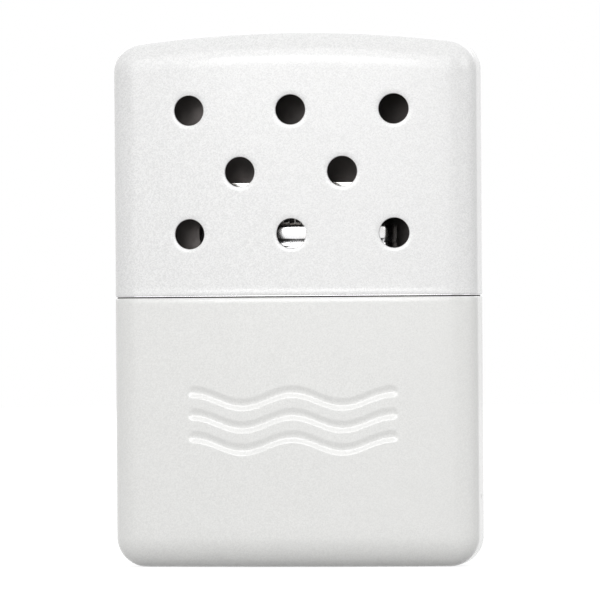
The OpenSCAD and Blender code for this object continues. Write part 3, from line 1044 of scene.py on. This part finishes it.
edge_rows = [cover_row(z, 0, inset) for z, lean, inset in lip(cover_low.z, -1, COVER_LIP)]
inner_first = len(outer_rows(SHEET))
cover_rows = list(reversed(outer_rows(SHEET))) + list(reversed(edge_rows)) + outer_rows(0)
outer_first = inner_first + len(edge_rows)
cells = []
for row in range(VENT_ROWS):
    count = 3 - row % 2
    for k in range(count):
        middle = len(columns) // 2 + int((k - (count - 1) / 2) * CELL_STEPS)
        low = (VENT_ROWS - 1 - row) * CELL_STEPS + len(low_lines)
        cells.append((middle - CELL_STEPS // 2, low))


def level_index(j, inside):
    """The row of the whole wall that holds level j of its outer or its inner face."""
    return inner_first - 1 - j if inside else outer_first + j


def in_cell(i, j):
    """True where a vent takes the place of the mesh."""
    for left, low in cells:
        for inside in (False, True):
            first, last = sorted(level_index(k, inside) for k in (low, low + CELL_STEPS))
            if left <= i < left + CELL_STEPS and first <= j < last:
                return True
    return False


def wall_y(x, inset):
    """The front wall of the case at a place between its rounded edges."""
    return case_point((x / SPREAD, 0), (-1, -1), (first_row, 0), inset).y


def cell_edge(left, low, inside):
    """The points round one cell of the mesh, from its lower left corner on."""
    steps = range(CELL_STEPS)
    right, high = left + CELL_STEPS, low + CELL_STEPS
    walk = [(left + k, low) for k in steps] + [(right, low + k) for k in steps]
    walk += [(right - k, high) for k in steps] + [(left, high - k) for k in steps]
    return [cover_point(columns[i], (-1, -1), cover_rows[level_index(j, inside)])
            for i, j in walk]


def vent_ring(center_x, center_z, radius, inset):
    """A ring of a vent, as far behind the front face as inset says, from its lower left on."""
    made = []
    for k in range(4 * CELL_STEPS):
        angle = math.pi * (2 * k / (4 * CELL_STEPS) - 0.75)
        x, z = center_x + radius * math.cos(angle), center_z + radius * math.sin(angle)
        made.append(Vector((x, wall_y(x, waist(z)) + inset, z)))
    return made


def vent_loops(left, low):
    """The wall round one vent: in from the mesh outside, over the rim, and back inside."""
    outside, within = cell_edge(left, low, False), cell_edge(left, low, True)
    center_x = front_x((columns[left][0] + columns[left + CELL_STEPS][0]) / 2)
    center_x = round(center_x / (VENT_PITCH_X / 2)) * VENT_PITCH_X / 2
    center_z = (cover_levels[low] + cover_levels[low + CELL_STEPS]) / 2
    outer_ring = vent_ring(center_x, center_z, VENT_R + VENT_RIM + DISH_W, 0)
    inner_ring = vent_ring(center_x, center_z, VENT_R + VENT_INNER_RIM, SHEET)
    made = [outside]
    for share in OUTER_SHARES:
        made.append([on_wall(a.lerp(b, share), 0) for a, b in zip(outside, outer_ring)])
    for share in spaced(0, 1, DISH_RINGS)[:-1]:
        made.append(vent_ring(center_x, center_z, VENT_R + VENT_RIM + DISH_W * (1 - share),
                              DISH * smooth(share, 0, 1)))
    for a in spaced(0, math.pi / 2, RIM_STEPS):
        made.append(vent_ring(center_x, center_z, VENT_R + VENT_RIM * (1 - math.sin(a)),
                              DISH + VENT_RIM * (1 - math.cos(a))))
    for a in spaced(0, math.pi / 2, INNER_RIM_STEPS):
        made.append(vent_ring(center_x, center_z, VENT_R + VENT_INNER_RIM * (1 - math.cos(a)),
                              SHEET - VENT_INNER_RIM * (1 - math.sin(a))))
    for share in INNER_SHARES:
        made.append([on_wall(a.lerp(b, share), SHEET) for a, b in zip(inner_ring, within)])
    return made + [within]


def on_wall(point, inset):
    """The point moved on to the outer or the inner face of the front wall."""
    return Vector((point.x, wall_y(point.x, inset + waist(point.z)), point.z))


def cover_is_bare(row):
    """True on the bare inside of the cover. The lacquer ends on the edge of the sheet."""
    return row[3] >= SHEET * LACQUERED_SHARE


lacquered_rings = 1 + len(OUTER_SHARES) + DISH_RINGS + RIM_STEPS + 1
bm = bmesh.new()
for side in (-1, 1):
    patch(bm, columns, cover_rows,
          lambda column, row: cover_point(column, (side, side), row),
          skip=in_cell if side < 0 else None, bare=cover_is_bare)
    patch(bm, side_columns, cover_rows,
          lambda column, row: cover_point((side * core_x, side), column, row),
          bare=cover_is_bare)
for depth in (0, SHEET):
    patch(bm, columns, side_columns,
          lambda column, row: case_point(column, row, (core_top(column[0]), 1), depth),
          bare=lambda row: depth > 0)
for left, low in cells:
    first = len(bm.faces)
    loops = vent_loops(left, low)
    skin(bm, loops)
    bm.faces.ensure_lookup_table()
    # The vent walls past the lacquered rings take the cover's near-black painted shade.
    for face in bm.faces[first + len(loops[0]) * lacquered_rings:]:
        face.material_index = 1
place_mesh(bm, "cover_drawn_cap", [cover_lacquer_painted_light, cover_inside_painted_shade], "cover", "cover_shell")


# ---------------------------------------------------------------- studio
# A pale floor under the object, a white surround, soft lamps and the camera at the
# photograph's angle. The floor is lit like the object and keeps its shadow; the camera and
# bright metal see floor and surround as white.
AMBIENT = 0.69
FLOOR_R = 1.5
FLOOR_SIDES = 96
FLOOR_GLOW = 0.80
FLOOR_GREY = 0.3
FLOOR_GAP = 0.00002


def seen_directly(tree):
    """1 for what the camera, a mirror or glass sees, and 0 for light that spreads."""
    path = add_node(tree, "LightPath")
    either = math_node(tree, "MAXIMUM", path.outputs["Is Camera Ray"],
                       path.outputs["Is Glossy Ray"])
    return math_node(tree, "MAXIMUM", either, path.outputs["Is Transmission Ray"])


world = bpy.data.worlds.new("white_surround")
scene.world = world
world.use_nodes = True
tree = world.node_tree
background = tree.nodes["Background"]
background.inputs["Color"].default_value = (1, 1, 1, 1)
strength = add_node(tree, "MapRange",
                    {"Value": seen_directly(tree), "To Min": AMBIENT, "To Max": 1.0})
tree.links.new(strength.outputs[0], background.inputs["Strength"])

bm = bmesh.new()
bmesh.ops.create_circle(bm, cap_ends=True, segments=FLOOR_SIDES, radius=FLOOR_R)
floor_mesh = bpy.data.meshes.new("floor")
bm.to_mesh(floor_mesh)
bm.free()
floor = bpy.data.objects.new("floor", floor_mesh)
floor.location.z = -FLOOR_GAP
scene.collection.objects.link(floor)
floor_paint = bpy.data.materials.new("pale_floor")
floor_paint.use_nodes = True
tree = floor_paint.node_tree
shader = tree.nodes["Principled BSDF"]
shader.inputs["Base Color"].default_value = (FLOOR_GREY, FLOOR_GREY, FLOOR_GREY, 1)
shader.inputs["Roughness"].default_value = 1.0
shader.inputs["Specular IOR Level"].default_value = 0.0
shader.inputs["Emission Color"].default_value = (1, 1, 1, 1)
glow = math_node(tree, "MULTIPLY", seen_directly(tree), FLOOR_GLOW)
tree.links.new(glow, shader.inputs["Emission Strength"])
floor_mesh.materials.append(floor_paint)
floor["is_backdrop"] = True


def softbox(name, azimuth, elevation, distance, width, height, radiance):
    """A soft rectangular lamp that faces the middle of the case. Azimuth is as the camera's."""
    lamp = bpy.data.lights.new(name, "AREA")
    lamp.shape = "RECTANGLE"
    lamp.size = width
    lamp.size_y = height
    lamp.energy = radiance * math.pi * width * height
    made = bpy.data.objects.new(name, lamp)
    a, e = math.radians(azimuth), math.radians(elevation)
    back = Vector((math.sin(a) * math.cos(e), -math.cos(a) * math.cos(e), math.sin(e)))
    made.location = aim + back * distance
    made.rotation_mode = "QUATERNION"
    made.rotation_quaternion = (-back).to_track_quat("-Z", "Y")
    scene.collection.objects.link(made)


aim = Vector((0, 0, (cad_low.z + cad_high.z) / 2))
for lamp in (("key_softbox", -7, 11, 1.5, 0.66, 0.37, 4.0),
             ("front_softbox", -11, 20, 1.6, 1.3, 1.1, 1.66),
             ("right_softbox", 65, 20, 1.5, 0.8, 0.8, 1.5),
             ("back_softbox", 180, 34, 1.6, 2.2, 1.1, 1.25)):
    softbox(*lamp)

CAMERA_AZIMUTH = 9.0
CAMERA_DISTANCE = 1.0
FIELD = 0.08328
ROLL = 0.4
SENSOR_MM = 36.0
VIEW_X = 0.00018
VIEW_Z = -0.00014
turn = math.radians(CAMERA_AZIMUTH)
right = Vector((math.cos(turn), math.sin(turn), 0))
back = Vector((math.sin(turn), -math.cos(turn), 0))
camera_data = bpy.data.cameras.new("camera")
camera_data.sensor_width = SENSOR_MM
camera_data.lens = SENSOR_MM * CAMERA_DISTANCE / FIELD
camera_data.clip_start = 0.01
camera_data.clip_end = 10
camera = bpy.data.objects.new("camera", camera_data)
camera.location = aim + back * CAMERA_DISTANCE + right * VIEW_X + Vector((0, 0, VIEW_Z))
camera.rotation_euler = (math.pi / 2, 0, turn)
camera.rotation_euler.rotate_axis("Z", math.radians(-ROLL))
scene.collection.objects.link(camera)
scene.camera = camera

low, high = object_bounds()
